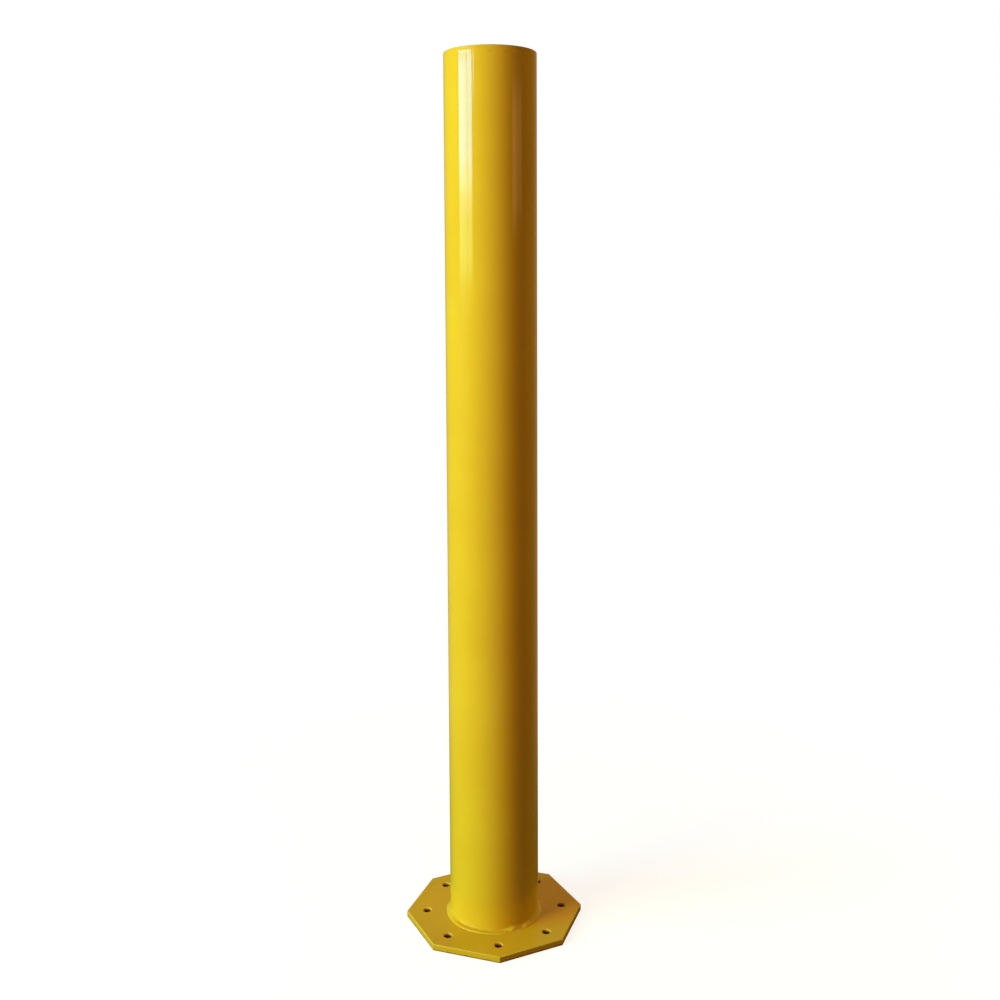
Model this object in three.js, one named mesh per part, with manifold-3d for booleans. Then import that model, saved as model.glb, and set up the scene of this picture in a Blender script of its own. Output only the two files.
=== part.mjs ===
// Fixed surface-mounted bollard: a capped round steel post, welded upright to an octagonal base plate.
// Millimetres, +Z up. The origin is the centre of the plate's underside, and the front is towards -Y.

import * as THREE from 'three';
import { mergeVertices } from 'three/addons/utils/BufferGeometryUtils.js';
import Module from 'manifold-3d';

const wasm = await Module();
wasm.setup();

// Driving dimensions
const overallHeight = 1100;
const postDiameter = 114.3;
const postWall = 4;
const plateAcrossFlats = 210;
const plateThickness = 8;
const plateEdgeBreak = 0.8;
const plateSides = 8;
const anchorHoleDiameter = 10.5;
const anchorCircleDiameter = 175;
const ventHoleDiameter = 10.5;
const ventHoleOffset = 38;
const capThickness = 5;
const capEdgeRadius = 1;
const capBevel = 2.5;
const filletLeg = 5;
const filletCrown = 0.5;
const seamBeadRadius = 2;
const seamBeadHeight = 0.8;
const joinGap = 0.3;

// Worked out from the driving dimensions
const postRadius = postDiameter / 2;
const boreRadius = postRadius - postWall;
const plateCornerRadius = plateAcrossFlats / 2 / Math.cos(Math.PI / plateSides);
const postFoot = plateThickness + joinGap;
const capUnderside = overallHeight - capThickness;
const postTop = capUnderside - joinGap;

// Facets
const roundSegments = 96;
const halfHoleSegments = 20;
const edgeSegments = 3;
const crownSegments = 3;

function paint(colour, roughness) {
  return new THREE.MeshStandardMaterial({ color: colour, roughness, metalness: 0 });
}

const postPaint = paint('#e8b71f', 0.22);
const platePaint = paint('#d9a41c', 0.34);
const weldPaint = paint('#dfac1d', 0.28);

function node(name, geometry, material) {
  const mesh = new THREE.Mesh(geometry, material);
  mesh.name = name;
  return mesh;
}

// A closed solid of revolution about +Z from [radius, height] points listed anticlockwise.
function turned(profile) {
  const points = profile.map(([radius, height]) => new THREE.Vector2(radius, height));
  return new THREE.LatheGeometry(points, roundSegments).rotateX(Math.PI / 2);
}

function toManifold(geometry) {
  const bare = geometry.clone();
  bare.deleteAttribute('normal');
  bare.deleteAttribute('uv');
  const merged = mergeVertices(bare, 1e-4);
  return new wasm.Manifold(new wasm.Mesh({
    numProp: 3,
    vertProperties: new Float32Array(merged.attributes.position.array),
    triVerts: new Uint32Array(merged.index.array),
  }));
}

function fromManifold(solid) {
  const mesh = solid.getMesh();
  const geometry = new THREE.BufferGeometry();
  geometry.setAttribute('position', new THREE.BufferAttribute(mesh.vertProperties, 3));
  geometry.setIndex(new THREE.BufferAttribute(mesh.triVerts, 1));
  return geometry;
}

// Points of a quarter round from startAngle, anticlockwise.
function quarterRound(centreRadius, centreHeight, radius, startAngle) {
  return Array.from({ length: edgeSegments + 1 }, (_, step) => {
    const angle = startAngle + (step / edgeSegments) * (Math.PI / 2);
    return [centreRadius + radius * Math.cos(angle), centreHeight + radius * Math.sin(angle)];
  });
}

// Octagonal plate with a corner on each of +X, +Y, -X and -Y, an anchor hole on the way to every
// corner, and one vent hole under the post's bore that lets air out of the closed post.
function basePlate() {
  const corners = Array.from({ length: plateSides }, (_, side) => {
    const angle = (side / plateSides) * 2 * Math.PI;
    return new THREE.Vector2(plateCornerRadius * Math.cos(angle), plateCornerRadius * Math.sin(angle));
  });
  const outline = new THREE.Shape(corners);
  for (const corner of corners) {
    const centre = corner.clone().setLength(anchorCircleDiameter / 2);
    outline.holes.push(roundHole(centre.x, centre.y, anchorHoleDiameter / 2));
  }
  outline.holes.push(roundHole(0, ventHoleOffset, ventHoleDiameter / 2));
  const slab = new THREE.ExtrudeGeometry(outline, {
    depth: plateThickness - 2 * plateEdgeBreak,
    curveSegments: halfHoleSegments,
    bevelThickness: plateEdgeBreak,
    bevelSize: plateEdgeBreak,
    bevelOffset: -plateEdgeBreak,
    bevelSegments: 1,
  });
  return slab.translate(0, 0, plateEdgeBreak);
}

function roundHole(x, y, radius) {
  return new THREE.Path().absarc(x, y, radius, 0, 2 * Math.PI, true);
}

// Welded tube, bevelled round the outside of its mouth, with the tube mill's seam bead left
// standing down the inside at the back.
function postTube() {
  const wall = turned([
    [boreRadius, postFoot],
    [postRadius, postFoot],
    [postRadius, postTop - capBevel],
    [postRadius - capBevel, postTop],
    [boreRadius, postTop],
    [boreRadius, postFoot],
  ]);
  const beadLength = postTop - postFoot - 2 * capBevel;
  const bead = new THREE.CylinderGeometry(seamBeadRadius, seamBeadRadius, beadLength, 16);
  bead.rotateX(Math.PI / 2);
  bead.translate(0, boreRadius - seamBeadHeight + seamBeadRadius, (postTop + postFoot) / 2);
  return fromManifold(toManifold(wall).add(toManifold(bead)));
}

// Disc as wide as the tube, laid on its end, bevelled below for the weld and rounded above.
function topCap() {
  return turned([
    [0, capUnderside],
    [postRadius - capBevel, capUnderside],
    [postRadius, capUnderside + capBevel],
    ...quarterRound(postRadius - capEdgeRadius, overallHeight - capEdgeRadius, capEdgeRadius, 0),
    [0, overallHeight],
  ]);
}

// Weld metal in the V between the two bevels, ground flush with the post.
function capWeld() {
  const slopeGap = joinGap * Math.SQRT2;
  const low = postTop - capBevel + slopeGap;
  const high = capUnderside + capBevel - slopeGap;
  const depth = (high - low) / 2;
  return turned([
    [postRadius - depth, low + depth],
    [postRadius, low],
    [postRadius, high],
    [postRadius - depth, low + depth],
  ]);
}

// Fillet weld all round the post's foot, slightly crowned across its face.
function baseWeld() {
  const root = postRadius + joinGap;
  const face = Array.from({ length: crownSegments + 1 }, (_, step) => {
    const along = step / crownSegments;
    const crown = filletCrown * Math.sin(Math.PI * along);
    return [root + filletLeg * (1 - along) + crown, postFoot + filletLeg * along + crown];
  });
  return turned([[root, postFoot], ...face, [root, postFoot]]);
}

const bollard = new THREE.Group();
bollard.add(
  node('base_plate', basePlate(), platePaint),
  node('post_tube', postTube(), postPaint),
  node('top_cap', topCap(), postPaint),
  node('cap_weld', capWeld(), weldPaint),
  node('base_weld', baseWeld(), weldPaint),
);

export default bollard;
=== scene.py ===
"""Looks of a fixed street bollard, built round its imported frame.

Units are metres, +Z is up and -Y is the front. A round tube stands on an octagonal plate, a flat cap
closes it, and everything is welded, ground at the top and powder coated in one gloss yellow.
"""

import math
import random

import bmesh
import bpy
from bpy.props import (
    FloatProperty,
    FloatVectorProperty,
    IntProperty,
    PointerProperty,
)
from mathutils import Matrix, Vector


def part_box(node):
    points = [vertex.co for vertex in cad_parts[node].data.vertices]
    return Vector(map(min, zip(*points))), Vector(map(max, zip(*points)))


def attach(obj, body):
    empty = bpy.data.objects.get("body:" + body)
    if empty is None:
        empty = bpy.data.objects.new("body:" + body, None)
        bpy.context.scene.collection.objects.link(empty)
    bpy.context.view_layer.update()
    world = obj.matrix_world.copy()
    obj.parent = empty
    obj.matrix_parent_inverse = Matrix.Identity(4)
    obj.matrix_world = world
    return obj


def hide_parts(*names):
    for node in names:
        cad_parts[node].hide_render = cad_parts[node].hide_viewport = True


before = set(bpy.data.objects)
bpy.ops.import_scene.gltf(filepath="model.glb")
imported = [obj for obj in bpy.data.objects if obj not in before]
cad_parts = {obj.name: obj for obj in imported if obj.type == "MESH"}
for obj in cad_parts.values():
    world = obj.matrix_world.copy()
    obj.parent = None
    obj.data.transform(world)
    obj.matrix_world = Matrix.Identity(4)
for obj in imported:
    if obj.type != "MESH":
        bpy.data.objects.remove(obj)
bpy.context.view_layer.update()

bl_info = {
    "name": "Welded street bollard",
    "version": (1, 0, 0),
    "blender": (4, 5, 0),
    "location": "3D View > Sidebar > Bollard",
    "description": "Builds a welded and powder coated street bollard with its studio",
    "category": "Add Mesh",
}

MM = 0.001
TURN = 2 * math.pi
BODY = "root"

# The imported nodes' boxes, which every piece is built to.
TUBE_LOW, TUBE_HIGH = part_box("post_tube")
CAP_LOW, CAP_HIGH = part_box("top_cap")
PLATE_LOW, PLATE_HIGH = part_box("base_plate")
BEAD_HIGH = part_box("base_weld")[1]
SEAM_LOW, SEAM_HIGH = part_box("cap_weld")
POST_RADIUS = TUBE_HIGH[0]
PLATE_TOP = PLATE_HIGH[2]
CORNER_RADIUS = PLATE_HIGH[0]

# Heights of the small marks that show in the coat, and of the ground band under the cap.
NIB_HEIGHT = 0.03 * MM
WAVE_HEIGHT = 0.02 * MM
POST_SCRATCH = 0.012 * MM
CAP_SCRATCH = 0.008 * MM
DRAG_LINE_DEPTH = 0.06 * MM
GROUND_BAND = 9.0 * MM


# ---------------------------------------------------------------- settings


def length_prop(name, description, default, low, high, **more):
    """A length setting, given in millimetres."""
    return FloatProperty(
        name=name, description=description, default=default * MM, min=low * MM, max=high * MM,
        unit="LENGTH", **more,
    )


def angle_prop(name, description, degrees):
    """An angle setting, given in degrees."""
    return FloatProperty(
        name=name, description=description, default=math.radians(degrees), subtype="ANGLE"
    )


def colour_prop(name, description, default):
    """A linear colour setting."""
    return FloatVectorProperty(
        name=name, description=description, default=default, subtype="COLOR", size=3, min=0.0,
        max=1.0,
    )


class BollardPost(bpy.types.PropertyGroup):
    """Sizes of the tube, its cap and the seam between them."""

    wall: length_prop("Wall", "Thickness of the tube's wall", 4.0, 1.0, 12.0)
    mouth_bevel: length_prop(
        "Mouth bevel", "Weld bevel round the tube's mouth and under the cap", 2.5, 0.5, 4.0
    )
    rim_radius: length_prop("Rim radius", "Rounding of the cap's upper edge", 1.0, 0.3, 4.0)
    seam_stand: length_prop(
        "Seam stand", "How far the ground cap seam still stands proud", 0.05, 0.0, 0.5
    )
    mill_bead: length_prop(
        "Mill seam", "Height of the tube mill's seam inside the tube", 0.8, 0.0, 2.0
    )
    facets: IntProperty(
        name="Facets", description="Facets round the post", default=288, min=32, max=512,
    )


class BollardPlate(bpy.types.PropertyGroup):
    """Sizes of the octagonal base plate."""

    sides: IntProperty(
        name="Sides", description="Sides of the plate, with an anchor hole to each corner",
        default=8, min=4, max=16,
    )
    anchor_hole: length_prop("Anchor hole", "Diameter of each anchor hole", 10.5, 4.0, 30.0)
    anchor_circle: length_prop(
        "Anchor circle", "Diameter of the circle through the anchor holes", 175.0, 100.0, 220.0
    )
    vent_offset: length_prop(
        "Vent offset", "Distance of the vent hole from the middle, to the back", 38.0, 0.0, 45.0
    )
    edge_round: length_prop("Edge rounding", "Rounding of the painted edges", 0.8, 0.1, 2.0)


class BollardWeld(bpy.types.PropertyGroup):
    """Shape of the fillet weld round the foot and of the spatter round it."""

    ripple_pitch: length_prop(
        "Ripple pitch", "Distance from one ripple of the bead to the next", 2.6, 0.5, 8.0
    )
    ripple_height: length_prop(
        "Ripple height", "Height of the ripples under the paint", 0.05, 0.0, 0.6
    )
    unevenness: length_prop("Unevenness", "How far the bead wanders in and out", 0.30, 0.0, 1.5)
    front_leg: length_prop(
        "Front leg", "How far the bead runs out on the plate at the front", 7.4, 2.0, 12.0
    )
    back_leg: length_prop(
        "Back leg", "How far the bead runs out on the plate at the back", 3.2, 2.0, 12.0
    )
    stop_angle: angle_prop("Stop angle", "Where the bead starts and stops, from +X", 291.5)
    stop_height: length_prop(
        "Stop height", "Height of the marks where the bead starts and stops", 1.2, 0.0, 2.0
    )
    spatter_count: IntProperty(
        name="Spatter", description="Number of spatter beads left on the plate", default=9,
        min=0, max=60,
    )
    seed: IntProperty(name="Seed", description="Seed of everything uneven", default=7)


class BollardPaint(bpy.types.PropertyGroup):
    """The powder coat."""

    yellow: colour_prop("Yellow", "Colour of the coat", (0.775, 0.515, 0.022))
    deep_yellow: colour_prop(
        "Deep yellow", "Colour where the coat is thick", (0.735, 0.455, 0.017)
    )
    # Painted highlight: a paler colour laid on the plate's upper rounded edges, where light from
    # above catches them.
    arris_highlight: colour_prop(
        "Arris", "Paler colour where the coat thins over the plate's edges", (0.88, 0.64, 0.12)
    )
    # Painted shade: a dark brown laid deep in the holes and along the plate's foot, where shade
    # falls.
    painted_shade: colour_prop(
        "Bare steel", "Colour in the holes, where the coat hardly reaches", (0.20, 0.06, 0.008)
    )
    gloss: FloatProperty(
        name="Roughness", description="Roughness of the post's coat", default=0.09, min=0.0,
        max=1.0, subtype="FACTOR",
    )
    peel: length_prop("Orange peel", "Depth of the orange peel", 0.006, 0.0, 0.1, precision=6)


class BollardStage(bpy.types.PropertyGroup):
    """Camera, floor and light."""

    eye_distance: FloatProperty(
        name="Distance", description="From the post's axis to the camera, level", default=1.4565,
        min=0.5, max=6.0, unit="LENGTH",
    )
    eye_height: FloatProperty(
        name="Height", description="Height of the camera", default=0.8241, min=0.0, max=3.0,
        unit="LENGTH",
    )
    eye_turn: angle_prop("Turn", "How far the camera stands left of the front", 3.19)
    look_right: angle_prop("Look right", "How far the camera turns to its right", 0.41)
    look_down: angle_prop("Look down", "How far the camera tips down", 5.32)
    roll: angle_prop("Roll", "Roll of the camera about its view", -0.26)
    focal_length: FloatProperty(
        name="Focal length", description="Focal length on a 36 mm wide sensor", default=42.01,
        min=10.0, max=200.0,
    )
    rise: FloatProperty(
        name="Rise", description="Vertical lens shift, as a share of the picture's width",
        default=-0.111, min=-0.5, max=0.5,
    )
    window_light: FloatProperty(
        name="Window", description="Radiance of the window on the left", default=14.0, min=0.0,
        max=200.0,
    )
    fill_light: FloatProperty(
        name="Fill", description="Radiance of the soft light from the left", default=8.0,
        min=0.0, max=50.0,
    )


# ---------------------------------------------------------------- mesh helpers


def on_circle(radius, angle, height=0.0):
    return Vector((radius * math.cos(angle), radius * math.sin(angle), height))


def arc(centre_radius, centre_height, radius, start, end, steps):
    """Points of a round in a radius and height section, both ends included."""
    for step in range(steps + 1):
        angle = start + (end - start) * step / steps
        yield (
            centre_radius + radius * math.cos(angle),
            centre_height + radius * math.sin(angle),
        )


def face_outwards(mesh):
    """Turn every face of a closed mesh outwards."""
    shell = bmesh.new()
    shell.from_mesh(mesh)
    bmesh.ops.recalc_face_normals(shell, faces=shell.faces)
    shell.to_mesh(mesh)
    shell.free()


def spin(name, section, facets, shape=None, is_open=False):
    """Turn a section about +Z. A point on the axis becomes one pole. A section off the axis closes
    on itself unless it is_open. shape(angle, index, radius, height) may move a ring's points."""
    shell = bmesh.new()
    rings = []
    for index, (radius, height) in enumerate(section):
        if radius < 1e-9:
            rings.append([shell.verts.new((0.0, 0.0, height))])
            continue
        ring = []
        for facet in range(facets):
            angle = TURN * facet / facets
            place = (radius, height) if shape is None else shape(angle, index, radius, height)
            ring.append(shell.verts.new(on_circle(place[0], angle, place[1])))
        rings.append(ring)
    pairs = list(zip(rings, rings[1:]))
    if len(rings[0]) > 1 and not is_open:
        pairs.append((rings[-1], rings[0]))
    for low, high in pairs:
        for facet in range(facets):
            following = (facet + 1) % facets
            corners = [low[facet % len(low)], low[following % len(low)]]
            corners += [high[following % len(high)], high[facet % len(high)]]
            shell.faces.new(list(dict.fromkeys(corners)))
    bmesh.ops.recalc_face_normals(shell, faces=shell.faces)
    mesh = bpy.data.meshes.new(name)
    shell.to_mesh(mesh)
    shell.free()
    mesh.shade_smooth()
    return mesh


def place(name, mesh, node, slot, material):
    """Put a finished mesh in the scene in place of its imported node."""
    piece = bpy.data.objects.new(name, mesh)
    bpy.context.scene.collection.objects.link(piece)
    mesh.materials.clear()
    mesh.materials.append(material)
    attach(piece, BODY)
    if node:
        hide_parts(node)
    return piece


def rows(low, high, step):
    """Evenly spaced heights between low and high, ends left out."""
    count = max(1, round((high - low) / step))
    return [low + (high - low) * row / count for row in range(1, count)]


# ---------------------------------------------------------------- node helpers


def knot(tree, kind, settings=None, **inputs):
    """Add one node, set its settings, and link or set its inputs by name or by place."""
    new = tree.nodes.new(kind)
    for key, value in (settings or {}).items():
        setattr(new, key, value)
    for key, value in inputs.items():
        socket = new.inputs[int(key[1:])] if key[0] == "i" and key[1:].isdigit() else new.inputs[key]
        if isinstance(value, bpy.types.NodeSocket):
            tree.links.new(value, socket)
        else:
            socket.default_value = value
    return new


def maths(tree, operation, first, second=0.0, third=0.0):
    kind = "ShaderNodeMath"
    return knot(tree, kind, {"operation": operation}, i0=first, i1=second, i2=third).outputs[0]


def scaled_vector(tree, vector, factor):
    new = knot(tree, "ShaderNodeVectorMath", {"operation": "SCALE"}, i0=vector, Scale=factor)
    return new.outputs[0]


def remap(tree, value, from_low, from_high, to_low=0.0, to_high=1.0, smooth=False):
    settings = {"interpolation_type": "SMOOTHSTEP"} if smooth else {}
    new = knot(
        tree, "ShaderNodeMapRange", settings, i0=value, i1=from_low, i2=from_high, i3=to_low,
        i4=to_high,
    )
    return new.outputs[0]


def new_geometry_tree(name, inputs):
    """A geometry tree with a mesh in and out and the named number inputs."""
    tree = bpy.data.node_groups.new(name, "GeometryNodeTree")
    tree.is_modifier = True
    tree.interface.new_socket("Geometry", in_out="INPUT", socket_type="NodeSocketGeometry")
    tree.interface.new_socket("Geometry", in_out="OUTPUT", socket_type="NodeSocketGeometry")
    for label, kind in inputs:
        tree.interface.new_socket(label, in_out="INPUT", socket_type=kind)
    return tree, tree.nodes.new("NodeGroupInput"), tree.nodes.new("NodeGroupOutput")


def end_tree(tree, group_out, geometry, material_socket):
    """Finish a geometry tree with Realize Instances and Set Material."""
    real = knot(tree, "GeometryNodeRealizeInstances", Geometry=geometry)
    painted = knot(
        tree, "GeometryNodeSetMaterial", Geometry=real.outputs[0], Material=material_socket
    )
    tree.links.new(painted.outputs[0], group_out.inputs[0])


def grow(name, mesh, tree, values):
    """Run a geometry tree on a mesh and give back the plain mesh."""
    worker = bpy.data.objects.new(name + "_worker", mesh)
    bpy.context.scene.collection.objects.link(worker)
    modifier = worker.modifiers.new("grow", "NODES")
    modifier.node_group = tree
    for item in tree.interface.items_tree:
        if item.in_out == "INPUT" and item.name in values:
            modifier[item.identifier] = values[item.name]
    graph = bpy.context.evaluated_depsgraph_get()
    grown = bpy.data.meshes.new_from_object(worker.evaluated_get(graph), depsgraph=graph)
    bpy.data.objects.remove(worker)
    grown.name = name
    return grown


# ---------------------------------------------------------------- powder coat


def bump(tree, height, distance, normal=None):
    inputs = {"Height": height, "Distance": distance, "Strength": 1.0}
    if normal is not None:
        inputs["Normal"] = normal
    return knot(tree, "ShaderNodeBump", **inputs).outputs[0]


def noise(tree, where, scale, detail=2.0, roughness=0.5):
    return knot(
        tree, "ShaderNodeTexNoise", Vector=where, Scale=scale, Detail=detail, Roughness=roughness
    ).outputs[0]


def stretched(tree, where, scale):
    return knot(tree, "ShaderNodeMapping", Vector=where, Scale=scale).outputs[0]


def round_the_post(tree, where):
    """Coordinates unrolled from the post: arc length round it, and height."""
    apart = knot(tree, "ShaderNodeSeparateXYZ", Vector=where)
    angle = maths(tree, "ARCTAN2", apart.outputs[1], apart.outputs[0])
    return maths(tree, "MULTIPLY", angle, POST_RADIUS), apart.outputs[2]


def powder_coat(name, paint, roughness, peel_depth, extra=None, tint=None):
    """Gloss powder coat: a warm yellow that drifts a little, fine orange peel and dust nibs.
    extra(tree, where, normal) may add the marks of one piece, and gives back the last normal.
    tint(tree, where, colour, paint) may change the coat's colour, and gives back the last one."""
    material = bpy.data.materials.new(name)
    material.use_nodes = True
    tree = material.node_tree
    tree.nodes.clear()
    where = knot(tree, "ShaderNodeTexCoord").outputs["Object"]

    grain_share = 0.12
    drift = noise(tree, where, scale=9.0, detail=3.0)
    grain = noise(tree, where, scale=2600.0, detail=1.0)
    shade = maths(tree, "ADD", drift, maths(tree, "MULTIPLY", grain, grain_share))
    colour = knot(
        tree, "ShaderNodeMix", {"data_type": "RGBA"},
        i0=remap(tree, shade, 0.35, 0.80),
        i6=(*paint.yellow, 1.0), i7=(*paint.deep_yellow, 1.0),
    ).outputs[2]

    if tint:
        colour = tint(tree, where, colour, paint)

    peel = noise(tree, where, scale=420.0, detail=1.5, roughness=0.4)
    normal = bump(tree, peel, peel_depth)
    nib = knot(
        tree, "ShaderNodeTexVoronoi", {"feature": "F1"}, Vector=where, Scale=70.0
    ).outputs[0]
    nib_reach = 0.07
    nib_height = remap(tree, nib, 0.0, nib_reach, 1.0, 0.0, smooth=True)
    normal = bump(tree, nib_height, NIB_HEIGHT, normal)
    if extra:
        normal = extra(tree, where, normal)

    wear = noise(tree, where, scale=35.0, detail=4.0, roughness=0.6)
    glossiest, dullest = roughness * 0.85, roughness * 1.3
    dullness = remap(tree, wear, 0.35, 0.75, glossiest, dullest)
    coat = knot(
        tree, "ShaderNodeBsdfPrincipled",
        **{
            "Base Color": colour, "Roughness": dullness, "Normal": normal, "IOR": 1.5,
            "Specular IOR Level": 0.36,
        },
    )
    output = tree.nodes.new("ShaderNodeOutputMaterial")
    tree.links.new(coat.outputs[0], output.inputs["Surface"])
    return material


def rolled_tube_marks(tree, where, normal):
    """Long shallow waves left by the tube mill, and grinding marks close under the cap."""
    arc_length, height = round_the_post(tree, where)
    unrolled = knot(tree, "ShaderNodeCombineXYZ", X=arc_length, Z=height).outputs[0]
    waves = noise(tree, stretched(tree, unrolled, (95.0, 1.0, 1.6)), scale=1.0, detail=1.0)
    normal = bump(tree, waves, WAVE_HEIGHT, normal)
    scratch = noise(tree, stretched(tree, unrolled, (60.0, 1.0, 2200.0)), scale=1.0)
    near_cap = remap(tree, height, CAP_LOW[2] - GROUND_BAND, CAP_LOW[2], smooth=True)
    return bump(tree, maths(tree, "MULTIPLY", scratch, near_cap), POST_SCRATCH, normal)


def ground_marks(tree, where, normal):
    """Straight grinding marks of the disc's upper face, filled by the coat."""
    scratch = noise(tree, stretched(tree, where, (1500.0, 70.0, 70.0)), scale=1.0)
    return bump(tree, scratch, CAP_SCRATCH, normal)


def on_cut_edge(tree):
    """1 on the plate's upright walls and 0 on its flat faces."""
    facing = knot(tree, "ShaderNodeNewGeometry").outputs["True Normal"]
    upright = knot(tree, "ShaderNodeSeparateXYZ", Vector=facing).outputs[2]
    wall_until, face_from = 0.2, 0.5
    return remap(tree, maths(tree, "ABSOLUTE", upright), wall_until, face_from, 1.0, 0.0)


def cut_edge_marks(tree, where, normal):
    """Upright drag lines on the plate's cut edges, and none on its faces."""
    lines = noise(tree, stretched(tree, where, (900.0, 900.0, 40.0)), scale=1.0)
    marks = maths(tree, "MULTIPLY", lines, on_cut_edge(tree))
    return bump(tree, marks, DRAG_LINE_DEPTH, normal)


def mixed_colour(tree, share, first, second):
    """The first colour, replaced by the second one as far as the share goes."""
    return knot(
        tree, "ShaderNodeMix", {"data_type": "RGBA"}, i0=share, i6=first, i7=(*second, 1.0)
    ).outputs[2]


def plate_tints(tree, where, colour, paint):
    """A face darkened a little as painted shade, a painted highlight on the upper arrises, and
    painted shade along the outer foot and deep in the holes.
    """
    # Painted shade: the plate's coat is darkened a little against the post's.
    plate_shade = (0.94, 0.91, 0.93, 1.0)
    # Height, raggedness and strength of the painted shade along the plate's foot.
    shade_height, shade_wander, shade_strength = 1.0 * MM, 2.6 * MM, 0.75
    # Depths below the plate's top where the painted shade in the holes starts and where it is full.
    shade_starts, shade_full = 1.5 * MM, 3.8 * MM
    colour = knot(
        tree, "ShaderNodeMix", {"data_type": "RGBA", "blend_type": "MULTIPLY"}, i0=1.0, i6=colour,
        i7=plate_shade,
    ).outputs[2]
    facing = knot(tree, "ShaderNodeNewGeometry").outputs["Normal"]
    upward = knot(tree, "ShaderNodeSeparateXYZ", Vector=facing).outputs[2]
    # Painted highlight: the upward-slanting faces of the rounded edges get the paler arris colour.
    off_wall = remap(tree, upward, 0.30, 0.55)
    off_face = remap(tree, upward, 0.93, 0.99, 1.0, 0.0)
    colour = mixed_colour(tree, maths(tree, "MULTIPLY", off_wall, off_face), colour, paint.arris_highlight)

    height = knot(tree, "ShaderNodeSeparateXYZ", Vector=where).outputs[2]
    # Painted shade along the foot of the cut edges, darkest at the floor and ragged.
    ragged = maths(tree, "MULTIPLY", noise(tree, where, scale=110.0), shade_wander)
    above = maths(tree, "SUBTRACT", height, ragged)
    low = remap(tree, above, 0.0, shade_height, shade_strength, 0.0, smooth=True)
    foot_shade = maths(tree, "MULTIPLY", low, on_cut_edge(tree))
    # Painted shade deep in the holes, darker with depth below the plate's top.
    in_hole = knot(
        tree, "ShaderNodeAttribute", {"attribute_type": "GEOMETRY", "attribute_name": "in_hole"}
    ).outputs["Fac"]
    deep = remap(tree, height, PLATE_TOP - shade_full, PLATE_TOP - shade_starts, 1.0, 0.0, smooth=True)
    shade_share = maths(tree, "MAXIMUM", maths(tree, "MULTIPLY", in_hole, deep), foot_shade)
    return mixed_colour(tree, shade_share, colour, paint.painted_shade)


def paint_of(name):
    """One material for each finish, made the first time that a piece asks for it."""
    if name in bpy.data.materials:
        return bpy.data.materials[name]
    paint = bpy.context.scene.bollard_paint
    kinds = {
        "post_coat": (1.0, 1.0, rolled_tube_marks, None),
        "cap_coat": (1.3, 1.0, ground_marks, None),
        "plate_coat": (1.6, 1.0, cut_edge_marks, plate_tints),
        "weld_coat": (1.8, 1.4, None, None),
    }
    dullness, peel, extra, tint = kinds[name]
    return powder_coat(name, paint, paint.gloss * dullness, paint.peel * peel, extra, tint)


# ---------------------------------------------------------------- pieces


class BOLLARD_OT_post_tube(bpy.types.Operator):
    """Build the tube, open at both ends, bevelled at its mouth and with its seam inside"""

    bl_idname = "bollard.post_tube"
    bl_label = "Post Tube"

    def execute(self, context):
        post = context.scene.bollard_post
        foot, mouth = TUBE_LOW[2], TUBE_HIGH[2]
        bore = POST_RADIUS - post.wall
        shoulder = mouth - post.mouth_bevel
        support, outer_row, inner_row = 1.0 * MM, 20.0 * MM, 60.0 * MM
        outside = [foot, foot + support]
        outside += rows(foot + support, shoulder - support, outer_row)
        outside += [shoulder - support, shoulder]
        inside = list(reversed([foot, *rows(foot, mouth, inner_row), mouth]))
        section = [(POST_RADIUS, height) for height in outside]
        section.append((POST_RADIUS - post.mouth_bevel, mouth))
        first_inside = len(section)
        section += [(bore, height) for height in inside]
        bead_half = 2.0 * MM

        def mill_seam(angle, index, radius, height):
            across = abs(angle - TURN / 4) * bore / bead_half
            if index < first_inside or across >= 1:
                return radius, height
            return radius - post.mill_bead * (1 - across * across), height

        mesh = spin("post_tube_coated", section, post.facets, mill_seam)
        mesh.set_sharp_from_angle(angle=math.radians(35))
        place("post_tube_coated", mesh, "post_tube", "post_paint", paint_of("post_coat"))
        return {"FINISHED"}


class BOLLARD_OT_top_cap(bpy.types.Operator):
    """Build the flat cap with its weld bevel below and its rounded edge above"""

    bl_idname = "bollard.top_cap"
    bl_label = "Top Cap"

    def execute(self, context):
        post = context.scene.bollard_post
        under, top = CAP_LOW[2], CAP_HIGH[2]
        section = [(0.0, under)]
        section += [(POST_RADIUS - post.mouth_bevel, under)]
        section += [(POST_RADIUS, under + post.mouth_bevel)]
        rim = post.rim_radius
        section += list(arc(POST_RADIUS - rim, top - rim, rim, 0.0, TURN / 4, 8))
        face = POST_RADIUS - rim
        section += [(face - step, top) for step in (0.4 * MM, 1.2 * MM, 4.0 * MM)]
        section += [(face * share, top) for share in (0.8, 0.6, 0.4, 0.2)]
        section += [(0.0, top)]
        mesh = spin("top_cap_coated", section, post.facets)
        mesh.set_sharp_from_angle(angle=math.radians(35))
        place("top_cap_coated", mesh, "top_cap", "post_paint", paint_of("cap_coat"))
        return {"FINISHED"}


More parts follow.
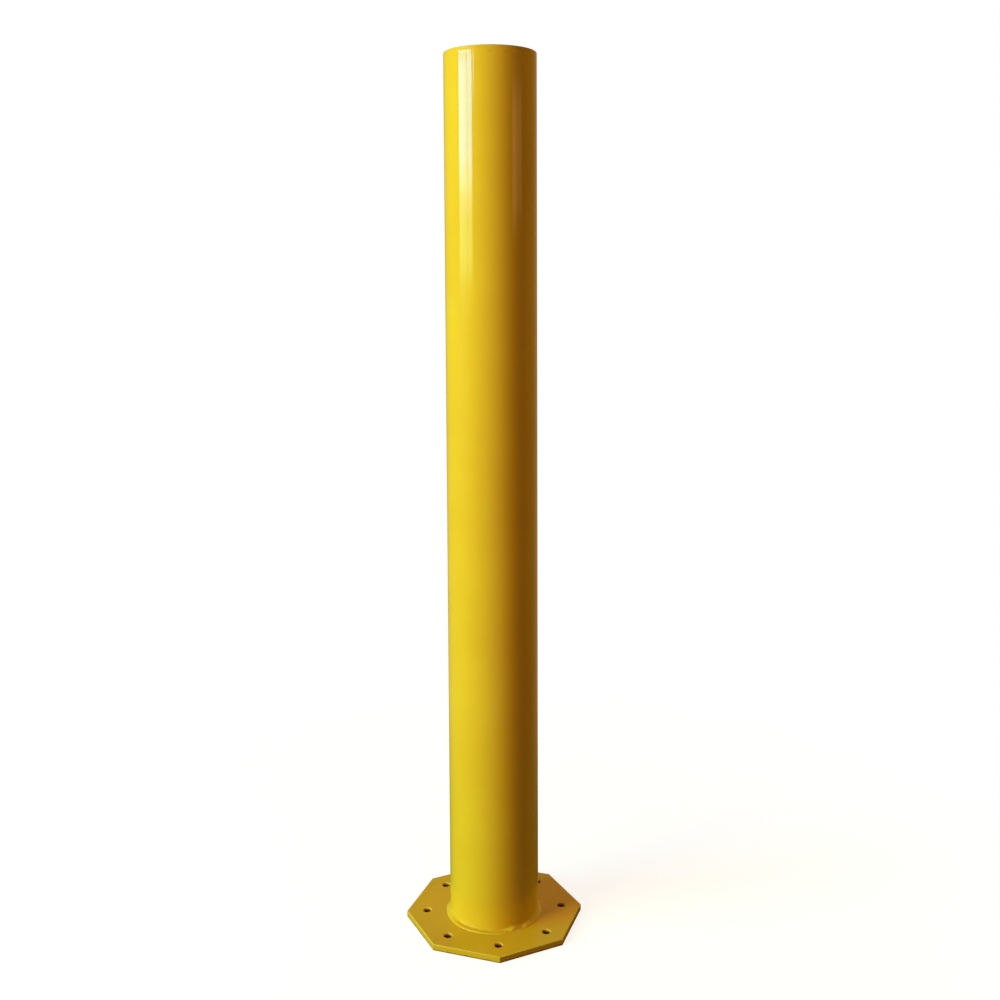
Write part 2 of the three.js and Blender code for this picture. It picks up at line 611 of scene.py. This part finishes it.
class BOLLARD_OT_cap_weld(bpy.types.Operator):
    """Build the weld between cap and tube, ground flush and feathered into both"""

    bl_idname = "bollard.cap_weld"
    bl_label = "Cap Weld"

    def execute(self, context):
        post = context.scene.bollard_post
        weld = context.scene.bollard_weld
        middle = (SEAM_LOW[2] + SEAM_HIGH[2]) / 2
        feather, sunk, steps = 0.4 * MM, 0.02 * MM, 10
        half = (SEAM_HIGH[2] - SEAM_LOW[2]) / 2 + feather
        section = [(POST_RADIUS - post.mouth_bevel, middle)]
        for step in range(steps + 1):
            across = 2 * step / steps - 1
            stand = post.seam_stand * (1 - across * across) - sunk
            section.append((POST_RADIUS + stand, middle + half * across))
        dice = random.Random(weld.seed)
        waves = [
            (dice.uniform(0.1, 0.3), dice.randint(3, 40), dice.uniform(0, TURN)) for _ in range(7)
        ]
        wander_height = 0.45 * MM

        def wander(angle, index, radius, height):
            drift = sum(size * math.sin(count * angle + phase) for size, count, phase in waves)
            share = (height - middle) / half
            return radius, height + wander_height * drift * abs(share)

        mesh = spin("cap_weld_coated", section, post.facets, wander)
        mesh.set_sharp_from_angle(angle=math.radians(50))
        place("cap_weld_coated", mesh, "cap_weld", "weld_paint", paint_of("post_coat"))
        return {"FINISHED"}


def edge_section(outer, inner, low, high, rounding):
    """Section of a plate's cut edge at radius outer, rounded at both ends, from flat to flat.

    inner is the radius where the flat faces take over, on either side of outer."""
    side = 1.0 if outer > inner else -1.0
    middle = outer - side * rounding
    steps = 6
    lower = arc(0.0, low + rounding, rounding, -TURN / 4, 0.0, steps)
    upper = arc(0.0, high - rounding, rounding, 0.0, TURN / 4, steps)
    rounded = [(middle + side * out, height) for out, height in (*lower, *upper)]
    return [(inner, low), *rounded, (inner, high)]


def plate_tree():
    """Both flat faces, filled round the holes, joined to the cut edge and to a collar in each hole.

    The mesh that the tree is given is the plate's cut edge, and the collar is a hole's wall."""
    number = "NodeSocketFloat"
    tree, given, result = new_geometry_tree("plate_with_holes", [
        ("Sides", "NodeSocketInt"), ("Face radius", number), ("Circle radius", number),
        ("Hole facets", "NodeSocketInt"), ("Collar radius", number), ("Vent offset", number),
        ("Low", number), ("Thickness", number), ("Collar", "NodeSocketObject"),
        ("Paint", "NodeSocketMaterial"),
    ])
    values = given.outputs
    ring = "GeometryNodeCurvePrimitiveCircle"
    outline = knot(tree, ring, Resolution=values["Sides"], Radius=values["Face radius"])
    centres = knot(tree, ring, Resolution=values["Sides"], Radius=values["Circle radius"])
    corners = knot(
        tree, "GeometryNodeCurveToPoints", {"mode": "EVALUATED"}, Curve=centres.outputs[0]
    )
    aside = knot(tree, "ShaderNodeCombineXYZ", Y=values["Vent offset"])
    vent = knot(tree, "GeometryNodePoints", Count=1, Position=aside.outputs[0])
    spots = tree.nodes.new("GeometryNodeJoinGeometry")
    for points in (corners, vent):
        tree.links.new(points.outputs[0], spots.inputs[0])

    mouth = knot(tree, ring, Resolution=values["Hole facets"], Radius=values["Collar radius"])
    mouths = knot(
        tree, "GeometryNodeInstanceOnPoints", Points=spots.outputs[0], Instance=mouth.outputs[0]
    )
    mouths_real = knot(tree, "GeometryNodeRealizeInstances", Geometry=mouths.outputs[0])
    curves = tree.nodes.new("GeometryNodeJoinGeometry")
    for piece in (outline, mouths_real):
        tree.links.new(piece.outputs[0], curves.inputs[0])
    face = knot(tree, "GeometryNodeFillCurve", {"mode": "TRIANGLES"}, Curve=curves.outputs[0])

    collar = knot(tree, "GeometryNodeObjectInfo", Object=values["Collar"])
    collars = knot(
        tree, "GeometryNodeInstanceOnPoints", Points=spots.outputs[0],
        Instance=collar.outputs["Geometry"],
    )
    collars_real = knot(tree, "GeometryNodeRealizeInstances", Geometry=collars.outputs[0])
    high = maths(tree, "ADD", values["Low"], values["Thickness"])
    whole = tree.nodes.new("GeometryNodeJoinGeometry")
    for height in (values["Low"], high):
        lift = knot(tree, "ShaderNodeCombineXYZ", Z=height)
        level = knot(
            tree, "GeometryNodeTransform", Geometry=face.outputs[0], Translation=lift.outputs[0]
        )
        tree.links.new(level.outputs[0], whole.inputs[0])
    tree.links.new(collars_real.outputs[0], whole.inputs[0])
    tree.links.new(given.outputs[0], whole.inputs[0])
    closed = knot(
        tree, "GeometryNodeMergeByDistance", Geometry=whole.outputs[0], Distance=0.02 * MM
    )
    end_tree(tree, result, closed.outputs[0], values["Paint"])
    return tree


class BOLLARD_OT_base_plate(bpy.types.Operator):
    """Build the octagonal plate with its anchor holes and its vent hole"""

    bl_idname = "bollard.base_plate"
    bl_label = "Base Plate"

    def execute(self, context):
        plate = context.scene.bollard_plate
        paint = paint_of("plate_coat")
        low, high = PLATE_LOW[2], PLATE_TOP
        support = 1.0 * MM
        hole_facets = 64

        corner_share = 1 / math.cos(math.pi / plate.sides)
        flat_width = CORNER_RADIUS / corner_share
        face_width = flat_width - plate.edge_round - support
        edge = [
            (width * corner_share, height)
            for width, height in edge_section(flat_width, face_width, low, high, plate.edge_round)
        ]
        band = spin("plate_edge", edge, plate.sides, is_open=True)

        hole = plate.anchor_hole / 2
        collar_radius = hole + plate.edge_round + support
        wall = edge_section(hole, collar_radius, low, high, plate.edge_round)
        collar_mesh = spin("hole_collar", wall, hole_facets, is_open=True)
        in_hole = [point.co.xy.length < hole + 0.05 * MM for point in collar_mesh.vertices]
        mark = collar_mesh.attributes.new("in_hole", "FLOAT", "POINT")
        mark.data.foreach_set("value", [float(inside) for inside in in_hole])
        collar = bpy.data.objects.new("hole_collar", collar_mesh)
        context.scene.collection.objects.link(collar)

        mesh = grow("base_plate_coated", band, plate_tree(), {
            "Sides": plate.sides, "Face radius": face_width * corner_share,
            "Circle radius": plate.anchor_circle / 2, "Hole facets": hole_facets,
            "Collar radius": collar_radius, "Vent offset": plate.vent_offset, "Low": low,
            "Thickness": high - low, "Collar": collar, "Paint": paint,
        })
        bpy.data.objects.remove(collar)
        face_outwards(mesh)
        mesh.shade_smooth()
        mesh.set_sharp_from_angle(angle=math.radians(30))
        place("base_plate_coated", mesh, "base_plate", "plate_paint", paint)
        return {"FINISHED"}


def swell(tree, spot, centre, width):
    """A smooth hill, 1 high where spot is centre, that falls away on both sides."""
    share = maths(tree, "DIVIDE", maths(tree, "SUBTRACT", spot, centre), width)
    square = maths(tree, "MULTIPLY", share, share)
    return maths(tree, "EXPONENT", maths(tree, "MULTIPLY", square, -1.0))


def ripple_tree():
    """Weld ripples, slow unevenness and the marks at the stop, along each point's normal."""
    number = "NodeSocketFloat"
    tree, given, result = new_geometry_tree("weld_ripples", [
        ("Radius", number), ("Pitch", number), ("Height", number), ("Unevenness", number),
        ("Stop angle", number), ("Stop height", number), ("Seed", number),
        ("Paint", "NodeSocketMaterial"),
    ])
    values = given.outputs
    where = tree.nodes.new("GeometryNodeInputPosition").outputs[0]
    normal = tree.nodes.new("GeometryNodeInputNormal").outputs[0]
    across = knot(tree, "GeometryNodeInputNamedAttribute", Name="across").outputs[0]
    apart = knot(tree, "ShaderNodeSeparateXYZ", Vector=where)
    angle = maths(tree, "ARCTAN2", apart.outputs[1], apart.outputs[0])
    mask = maths(tree, "SINE", maths(tree, "MULTIPLY", across, math.pi))

    along = maths(tree, "DIVIDE", maths(tree, "MULTIPLY", angle, values["Radius"]), values["Pitch"])
    off_middle = maths(tree, "SUBTRACT", across, 0.5)
    ripple_bend = 3.0
    bend = maths(tree, "MULTIPLY", maths(tree, "MULTIPLY", off_middle, off_middle), ripple_bend)
    wander = knot(
        tree, "ShaderNodeTexNoise", {"noise_dimensions": "4D"}, Vector=where, W=values["Seed"],
        Scale=130.0, Detail=2.0,
    ).outputs[0]
    phase = maths(tree, "ADD", maths(tree, "ADD", along, bend), wander)
    crest = maths(tree, "ABSOLUTE", maths(tree, "SINE", maths(tree, "MULTIPLY", phase, math.pi)))
    ripples = maths(tree, "MULTIPLY", crest, values["Height"])

    slow = knot(
        tree, "ShaderNodeTexNoise", {"noise_dimensions": "4D"}, Vector=where, W=values["Seed"],
        Scale=38.0, Detail=2.0,
    ).outputs[0]
    uneven = maths(tree, "MULTIPLY", maths(tree, "SUBTRACT", slow, 0.5), values["Unevenness"])

    turned = maths(tree, "SUBTRACT", angle, values["Stop angle"])
    wrapped = maths(tree, "WRAP", turned, math.pi, -math.pi)
    # Degrees past the stop, width in degrees, place up the bead and its spread, and height as a
    # share of the stop height. A negative height is a dip.
    marks = (
        (0.0, 5.0, 0.50, 0.08, 1.3), (1.0, 5.5, 0.22, 0.14, -1.0), (-8.0, 2.2, 0.24, 0.20, -0.6),
        (11.0, 3.0, 0.45, 0.30, -0.7), (19.5, 1.6, 0.75, 0.20, 0.45), (23.5, 1.3, 0.50, 0.20, 0.4),
    )
    shape = 0.0
    for turn, width, up, spread, size in marks:
        round_post = swell(tree, wrapped, math.radians(turn), math.radians(width))
        up_bead = swell(tree, across, up, spread)
        mark = maths(tree, "MULTIPLY", maths(tree, "MULTIPLY", round_post, up_bead), size)
        shape = maths(tree, "ADD", shape, mark)
    stop = maths(tree, "MULTIPLY", shape, values["Stop height"])

    total = maths(tree, "ADD", maths(tree, "ADD", ripples, uneven), stop)
    move = scaled_vector(tree, normal, maths(tree, "MULTIPLY", total, mask))
    moved = knot(tree, "GeometryNodeSetPosition", Geometry=given.outputs[0], Offset=move)
    end_tree(tree, result, moved.outputs[0], values["Paint"])
    return tree


class BOLLARD_OT_base_weld(bpy.types.Operator):
    """Build the fillet weld that joins the post to its plate"""

    bl_idname = "bollard.base_weld"
    bl_label = "Base Weld"

    def execute(self, context):
        weld = context.scene.bollard_weld
        reach = BEAD_HIGH[0] - POST_RADIUS
        rise = BEAD_HIGH[2] - PLATE_TOP
        inset, facets, hidden_rise = 0.4 * MM, 900, 0.4
        widest_left_of_front = math.radians(12)
        stop_width = math.radians(9)
        rolls_from, rolls_within = 0.66, 0.2
        # From the toe on the plate up to the toe on the tube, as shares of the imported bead: how
        # far out, how far up at the sides where the bead is concave, and how far up in front
        # where it is flat with a rolled edge.
        face = [
            (0.973, -0.06, -0.06), (0.970, 0.03, 0.03), (0.953, 0.07, 0.10), (0.919, 0.105, 0.17),
            (0.865, 0.155, 0.225), (0.797, 0.215, 0.26), (0.716, 0.28, 0.272),
            (0.622, 0.36, 0.272), (0.514, 0.45, 0.265), (0.405, 0.545, 0.262),
            (0.311, 0.63, 0.265), (0.230, 0.71, 0.28), (0.162, 0.78, 0.305), (0.108, 0.84, 0.34),
            (0.061, 0.90, 0.385), (0.027, 0.95, 0.435), (0.004, 1.0, 0.485), (-0.007, 1.05, 0.52),
        ]
        section = [(POST_RADIUS + out * reach, PLATE_TOP + up * rise) for out, up, _ in face]
        section.append((POST_RADIUS - inset, PLATE_TOP + rise * hidden_rise))
        section.append((POST_RADIUS - inset, PLATE_TOP - inset))

        def wider_in_front(angle, index, radius, height):
            share = (0.5 - 0.5 * math.sin(angle + widest_left_of_front)) ** 1.5
            leg = weld.back_leg + (weld.front_leg - weld.back_leg) * share
            out = radius - POST_RADIUS
            if index < len(face):
                from_stop = (angle - weld.stop_angle) / stop_width
                rolled = min(1.0, max(0.0, (share - rolls_from) / rolls_within))
                rolled *= 1 - math.exp(-from_stop**2)
                height += (face[index][2] - face[index][1]) * rolled * rise
            return POST_RADIUS + (out * leg / reach if out > 0 else out), height

        mesh = spin("base_weld_smooth", section, facets, wider_in_front)
        across = mesh.attributes.new("across", "FLOAT", "POINT")
        for index, place_across in enumerate(across.data):
            place_across.value = min(1.0, index // facets / (len(face) - 1))
        paint = paint_of("weld_coat")
        grown = grow("base_weld_coated", mesh, ripple_tree(), {
            "Radius": POST_RADIUS + reach / 2, "Pitch": weld.ripple_pitch,
            "Height": weld.ripple_height, "Unevenness": weld.unevenness,
            "Stop angle": weld.stop_angle, "Stop height": weld.stop_height,
            "Seed": float(weld.seed), "Paint": paint,
        })
        grown.set_sharp_from_angle(angle=math.radians(60))
        place("base_weld_coated", grown, "base_weld", "weld_paint", paint)
        return {"FINISHED"}


def bead_tree():
    """A flattened bead on every point, as wide as the point's own size says."""
    tree, given, result = new_geometry_tree("beads_on_points", [("Paint", "NodeSocketMaterial")])
    ball = knot(tree, "GeometryNodeMeshIcoSphere", Radius=1.0, Subdivisions=3)
    flat = knot(tree, "GeometryNodeTransform", Geometry=ball.outputs[0], Scale=(1.0, 1.0, 0.55))
    outward = knot(
        tree, "GeometryNodeInputNamedAttribute", {"data_type": "FLOAT_VECTOR"}, Name="outward"
    )
    size = knot(tree, "GeometryNodeInputNamedAttribute", Name="size")
    turn = knot(tree, "FunctionNodeAlignRotationToVector", {"axis": "Z"}, Vector=outward.outputs[0])
    beads = knot(
        tree, "GeometryNodeInstanceOnPoints", Points=given.outputs[0], Instance=flat.outputs[0],
        Rotation=turn.outputs[0], Scale=size.outputs[0],
    )
    real = knot(tree, "GeometryNodeRealizeInstances", Geometry=beads.outputs[0])
    smooth = knot(tree, "GeometryNodeSetShadeSmooth", Geometry=real.outputs[0])
    end_tree(tree, result, smooth.outputs[0], given.outputs["Paint"])
    return tree


class BOLLARD_OT_spatter(bpy.types.Operator):
    """Scatter the weld's spatter beads round the foot, and the coat's few large nibs"""

    bl_idname = "bollard.spatter"
    bl_label = "Spatter"

    def execute(self, context):
        weld = context.scene.bollard_weld
        dice = random.Random(weld.seed)
        beads = []
        for _ in range(weld.spatter_count):
            angle = dice.uniform(0, TURN)
            radius = BEAD_HIGH[0] + dice.uniform(1.0, 12.0) * MM
            spot = on_circle(radius, angle, PLATE_TOP)
            beads.append((spot, Vector((0, 0, 1)), dice.uniform(0.3, 0.7)))
        # Where round the post, at what height, and the bead's radius in millimetres.
        on_post = [
            (math.radians(312.5), BEAD_HIGH[2] + 1.5 * MM, 0.9),
            (math.radians(315.5), BEAD_HIGH[2] - 1.0 * MM, 0.8),
            (math.radians(306.0), 513.0 * MM, 1.1),
        ]
        for angle, height, size in on_post:
            beads.append((on_circle(POST_RADIUS, angle, height), on_circle(1.0, angle), size))
        mesh = bpy.data.meshes.new("bead_points")
        mesh.from_pydata([spot for spot, _, _ in beads], [], [])
        outward = mesh.attributes.new("outward", "FLOAT_VECTOR", "POINT")
        outward.data.foreach_set("vector", [axis for _, way, _ in beads for axis in way])
        size = mesh.attributes.new("size", "FLOAT", "POINT")
        size.data.foreach_set("value", [width * MM for _, _, width in beads])
        paint = paint_of("weld_coat")
        grown = grow("spatter_beads", mesh, bead_tree(), {"Paint": paint})
        place("spatter_beads", grown, None, "weld_paint", paint)
        return {"FINISHED"}


# ---------------------------------------------------------------- studio


def soft_panel(name, middle, target, width, height, radiance, colour):
    """A flat light of a given radiance that faces its target and that the camera can't see."""
    lamp = bpy.data.lights.new(name, "AREA")
    lamp.shape = "RECTANGLE"
    lamp.size = width
    lamp.size_y = height
    lamp.energy = radiance * math.pi * width * height
    lamp.color = colour
    panel = bpy.data.objects.new(name, lamp)
    bpy.context.scene.collection.objects.link(panel)
    ahead = (Vector(target) - Vector(middle)).normalized()
    panel.location = middle
    panel.rotation_euler = ahead.to_track_quat("-Z", "Y").to_euler()
    panel.visible_camera = False
    return panel


def mirrored_panel(stage, name, turns, rises, radiance, colour, distance=6.0):
    """A panel that the camera sees mirrored in the upright post.

    turns are the degrees left of the camera where its sides stand, and rises the degrees above the
    eye where its ends show in the post."""
    mirrored_path = distance + stage.eye_distance - POST_RADIUS
    far, near = (math.radians(turn) + stage.eye_turn for turn in turns)
    feet, head = (
        stage.eye_height + mirrored_path * math.tan(math.radians(rise)) for rise in rises
    )
    middle = Vector((-math.sin((far + near) / 2), -math.cos((far + near) / 2), 0)) * distance
    middle.z = (feet + head) / 2
    width = 2 * distance * math.tan(abs(far - near) / 2)
    return soft_panel(name, middle, (0, 0, middle.z), width, head - feet, radiance, colour)


def window_panes(stage):
    """The window on the left, in panes side by side, and a bright slit beside it. Its upper bands
    are bright sky, and the lower ones are dimmer and yellower towards the sill."""
    # Each pane is its sides and its head, and each band its foot, its head and its colour, in
    # degrees as mirrored_panel takes them. The top band has no head, and ends at the pane's.
    sky, slit_share = (0.13, 0.70, 1.11), 0.8
    panes = (((83.0, 59.7), 10.68), ((58.4, 46.0), 10.77))
    bands = (
        (9.8, None, (0.18, 0.90, 1.60)), (5.4, 9.8, sky), (4.3, 5.4, (0.38, 0.68, 0.68)),
        (2.4, 4.3, (0.16, 0.40, 0.20)), (0.2, 2.4, (0.15, 0.40, 0.15)),
    )
    for number, (turns, head) in enumerate(panes):
        for band, (low, high, colour) in enumerate(bands):
            mirrored_panel(
                stage, f"window_{number}_{band}", turns, (low, high or head), stage.window_light,
                colour,
            )
    radiance = stage.window_light * slit_share
    mirrored_panel(stage, "window_slit", (42.8, 39.8), (9.0, 10.9), radiance, sky)


def unmirrored_panel(stage, name, turns, radiance, colour):
    """A tall soft panel 3 m away that lights the coat and leaves no mirror image in it."""
    distance, head = 3.0, 3.0
    far, near = (math.radians(turn) + stage.eye_turn for turn in turns)
    middle = Vector((-math.sin((far + near) / 2), -math.cos((far + near) / 2), 0)) * distance
    middle.z = head / 2
    width = 2 * distance * math.tan(abs(far - near) / 2)
    panel = soft_panel(name, middle, (0, 0, middle.z), width, head, radiance, colour)
    panel.visible_glossy = False


def soft_fill(stage):
    """Broad light from the left, warm in front and cool beside, and a little from behind."""
    unmirrored_panel(stage, "warm_fill", (65.0, 45.0), stage.fill_light, (1.08, 0.72, 0.03))
    unmirrored_panel(stage, "cool_fill", (85.0, 65.0), stage.fill_light, (0.02, 0.58, 0.85))
    back_light = stage.fill_light * 0.21
    unmirrored_panel(stage, "back_fill", (-110.0, -150.0), back_light, (1.0, 1.0, 0.2))


def dim_openings(stage):
    """Faint upright gleams that the dark side of the post mirrors."""
    gleam = (1.0, 0.62, 0.20)
    for name, turns, rises, radiance in (
        ("gleam_high", (-49.8, -47.0), (9.3, 10.7), 1.0),
        ("gleam_near", (-66.0, -55.0), (2.9, 9.2), 1.9),
        ("gleam_far", (-83.0, -66.0), (3.4, 9.2), 1.2),
    ):
        panel = mirrored_panel(stage, name, turns, rises, radiance, gleam)
        panel.visible_diffuse = False


def studio_world():
    """White to the eye. To the light on the object it is a dim warm room, darkest on the right."""
    rightward = (0.98, -0.17, -0.05)
    dark_side, warm_room = (0.08, 0.016, 0.022, 1.0), (0.365, 0.20, 0.135, 1.0)
    world = bpy.data.worlds.new("studio")
    bpy.context.scene.world = world
    world.use_nodes = True
    tree = world.node_tree
    tree.nodes.clear()
    aim = knot(tree, "ShaderNodeTexCoord").outputs["Generated"]
    toward_right = knot(
        tree, "ShaderNodeVectorMath", {"operation": "DOT_PRODUCT"}, i0=aim, i1=rightward
    ).outputs[1]
    open_side = remap(tree, toward_right, 0.35, 0.85, 1.0, 0.0, smooth=True)
    room = knot(
        tree, "ShaderNodeMix", {"data_type": "RGBA"}, i0=open_side, i6=dark_side, i7=warm_room
    ).outputs[2]
    room_light = knot(tree, "ShaderNodeBackground", Color=room, Strength=1.0)
    white = knot(tree, "ShaderNodeBackground", Color=(1.0, 1.0, 1.0, 1.0), Strength=1.0)
    seen = knot(tree, "ShaderNodeLightPath").outputs["Is Camera Ray"]
    mixed = knot(
        tree, "ShaderNodeMixShader", i0=seen, i1=room_light.outputs[0], i2=white.outputs[0]
    )
    output = tree.nodes.new("ShaderNodeOutputWorld")
    tree.links.new(mixed.outputs[0], output.inputs["Surface"])


def studio_floor():
    """A pale round floor that fades out into the white behind it and throws back little light."""
    radius, fades_from, fades_to = 1.5, 0.16, 0.9
    bounce_colour, seen_colour = (0.10, 0.09, 0.08, 1.0), (0.40, 0.40, 0.40, 1.0)
    floor = bpy.data.objects.new("studio_floor", bpy.data.meshes.new("studio_floor"))
    sheet = bmesh.new()
    bmesh.ops.create_circle(sheet, cap_ends=True, segments=96, radius=radius)
    sheet.to_mesh(floor.data)
    sheet.free()
    bpy.context.scene.collection.objects.link(floor)
    material = bpy.data.materials.new("pale_floor")
    material.use_nodes = True
    tree = material.node_tree
    tree.nodes.clear()
    where = knot(tree, "ShaderNodeTexCoord").outputs["Object"]
    far = knot(tree, "ShaderNodeVectorMath", {"operation": "LENGTH"}, i0=where).outputs[1]
    fade = remap(tree, far, fades_from, fades_to, smooth=True)
    dim = knot(tree, "ShaderNodeBsdfDiffuse", Color=bounce_colour)
    pale = knot(tree, "ShaderNodeBsdfDiffuse", Color=seen_colour)
    glow = knot(tree, "ShaderNodeEmission", Color=(1.0, 1.0, 1.0, 1.0), Strength=0.80)
    lifted = knot(tree, "ShaderNodeAddShader", i0=pale.outputs[0], i1=glow.outputs[0])
    seen = knot(tree, "ShaderNodeLightPath").outputs["Is Camera Ray"]
    ground = knot(tree, "ShaderNodeMixShader", i0=seen, i1=dim.outputs[0], i2=lifted.outputs[0])
    clear = knot(tree, "ShaderNodeBsdfTransparent")
    mixed = knot(tree, "ShaderNodeMixShader", i0=fade, i1=ground.outputs[0], i2=clear.outputs[0])
    output = tree.nodes.new("ShaderNodeOutputMaterial")
    tree.links.new(mixed.outputs[0], output.inputs["Surface"])
    floor.data.materials.append(material)


def studio_camera(stage):
    ahead_turn = stage.eye_turn + stage.look_right
    ahead = Vector((
        math.sin(ahead_turn) * math.cos(stage.look_down),
        math.cos(ahead_turn) * math.cos(stage.look_down),
        -math.sin(stage.look_down),
    ))
    right = ahead.cross(Vector((0, 0, 1))).normalized()
    up = right.cross(ahead)
    level, tilt = math.cos(stage.roll), math.sin(stage.roll)
    right, up = level * right + tilt * up, level * up - tilt * right
    lens = bpy.data.cameras.new("studio_camera")
    lens.sensor_width = 36.0
    lens.lens = stage.focal_length
    lens.shift_y = stage.rise
    eye = bpy.data.objects.new("studio_camera", lens)
    turn = Matrix((right, up, -ahead)).transposed()
    eye.matrix_world = turn.to_4x4()
    eye.location = (
        -stage.eye_distance * math.sin(stage.eye_turn),
        -stage.eye_distance * math.cos(stage.eye_turn),
        stage.eye_height,
    )
    bpy.context.scene.collection.objects.link(eye)
    bpy.context.scene.camera = eye


class BOLLARD_OT_stage(bpy.types.Operator):
    """Set up the camera, the floor, the window and the soft lights"""

    bl_idname = "bollard.stage"
    bl_label = "Stage"

    def execute(self, context):
        stage = context.scene.bollard_stage
        context.scene.view_settings.view_transform = "Standard"
        studio_camera(stage)
        studio_world()
        studio_floor()
        window_panes(stage)
        dim_openings(stage)
        soft_fill(stage)
        return {"FINISHED"}


# ---------------------------------------------------------------- panel


OPERATORS = (
    BOLLARD_OT_stage,
    BOLLARD_OT_base_plate,
    BOLLARD_OT_post_tube,
    BOLLARD_OT_top_cap,
    BOLLARD_OT_cap_weld,
    BOLLARD_OT_base_weld,
    BOLLARD_OT_spatter,
)

SETTINGS = {
    "bollard_post": BollardPost,
    "bollard_plate": BollardPlate,
    "bollard_weld": BollardWeld,
    "bollard_paint": BollardPaint,
    "bollard_stage": BollardStage,
}


class BOLLARD_PT_panel(bpy.types.Panel):
    """The bollard's settings and its build steps"""

    bl_idname = "BOLLARD_PT_panel"
    bl_label = "Street Bollard"
    bl_space_type = "VIEW_3D"
    bl_region_type = "UI"
    bl_category = "Bollard"

    def draw(self, context):
        for name in SETTINGS:
            group = getattr(context.scene, name)
            box = self.layout.box()
            box.label(text=name.replace("_", " ").capitalize())
            for prop in type(group).__annotations__:
                box.prop(group, prop)
        for operator in OPERATORS:
            self.layout.operator(operator.bl_idname)


CLASSES = (*SETTINGS.values(), *OPERATORS, BOLLARD_PT_panel)


def register():
    for item in CLASSES:
        bpy.utils.register_class(item)
    for name, group in SETTINGS.items():
        setattr(bpy.types.Scene, name, PointerProperty(type=group))


def unregister():
    for name in SETTINGS:
        delattr(bpy.types.Scene, name)
    for item in reversed(CLASSES):
        bpy.utils.unregister_class(item)


def main():
    register()
    bpy.ops.bollard.stage()
    bpy.ops.bollard.base_plate()
    bpy.ops.bollard.post_tube()
    bpy.ops.bollard.top_cap()
    bpy.ops.bollard.cap_weld()
    bpy.ops.bollard.base_weld()
    bpy.ops.bollard.spatter()


if __name__ == "__main__":
    main()
